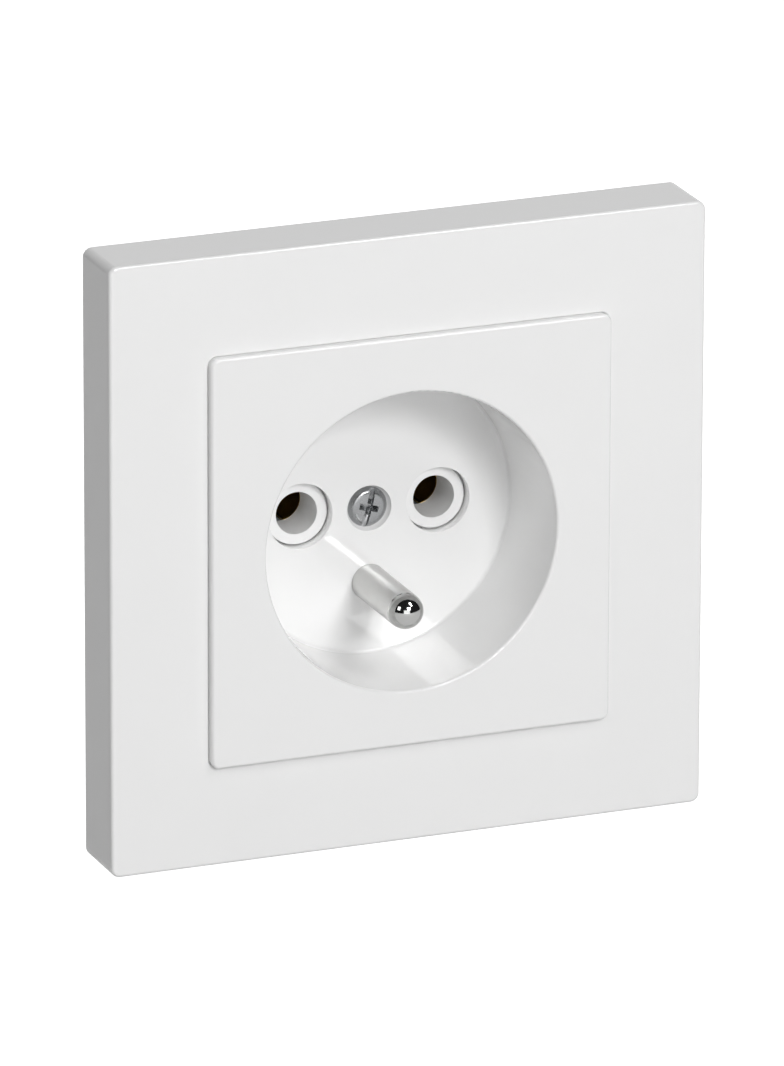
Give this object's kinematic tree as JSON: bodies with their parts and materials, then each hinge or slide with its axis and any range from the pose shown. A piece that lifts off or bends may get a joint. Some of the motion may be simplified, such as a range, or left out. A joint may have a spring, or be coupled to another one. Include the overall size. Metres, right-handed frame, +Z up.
{
  "type": "flush single socket",
  "caption": "Flush wall socket with a square cover frame, a raised centre plate with a round dish, pin holes, a fixed earth pin and claws behind.",
  "frame": {"origin": "midway between the two box screws, in the wall plane that the cover frame's rim rests on", "axes": "+Y into the wall, -Y towards the user, +X to the user's right, +Z up"},
  "size_m": [0.0816, 0.0407, 0.0816],
  "materials": {
    "frame_white": "satin moulded",
    "plate_white": "satin moulded",
    "carrier_white": "moulded",
    "rear_grey": "moulded",
    "screw_steel": "bright",
    "zinc_steel": "zinc plated",
    "spring_steel": "plain",
    "nickel": "polished nickel plate",
    "brass": "stamped"
  },
  "bodies": {
    "socket": {"cover_frame": "frame_white", "centre_plate": "plate_white", "cover_screw": "screw_steel", "cover_nut": "zinc_steel", "support_ring": "zinc_steel", "ring_rivets": "zinc_steel", "contact_carrier": "carrier_white", "rear_cover": "rear_grey", "housing_screws": "zinc_steel", "earth_pin": "nickel", "earth_strap": "brass", "live_contact_left": "brass", "live_contact_right": "brass", "contact_spring_left": "spring_steel", "contact_spring_right": "spring_steel", "terminal_clamp_left": "brass", "terminal_clamp_right": "brass", "terminal_clamp_earth": "brass", "terminal_screws": "zinc_steel", "claw_screws": "zinc_steel"},
    "claw_left": {"claw_left": "zinc_steel"},
    "claw_right": {"claw_right": "zinc_steel"},
    "claw_nut_left": {"claw_nut_left": "zinc_steel"},
    "claw_nut_right": {"claw_nut_right": "zinc_steel"}
  },
  "joints": [
    {"name": "claw_nut_right_slide", "type": "slide", "parent": "socket", "child": "claw_nut_right", "axis": [0, -1, 0], "range_m": [0, 0.00166]},
    {"name": "claw_right_swing", "type": "hinge", "parent": "socket", "child": "claw_right", "pos_m": [0.0204, 0.0098, 0], "axis": [0, 0, -1], "range_deg": [0, 22]},
    {"name": "claw_nut_left_slide", "type": "slide", "parent": "socket", "child": "claw_nut_left", "axis": [0, -1, 0], "range_m": [0, 0.00166]},
    {"name": "claw_left_swing", "type": "hinge", "parent": "socket", "child": "claw_left", "pos_m": [-0.0204, 0.0098, 0], "axis": [0, 0, 1], "range_deg": [0, 22]}
  ],
  "couplings": [
    {"joint": "claw_right_swing", "follows": "claw_nut_right_slide", "rad_per_m": 230.8},
    {"joint": "claw_left_swing", "follows": "claw_nut_left_slide", "rad_per_m": 230.8}
  ]
}
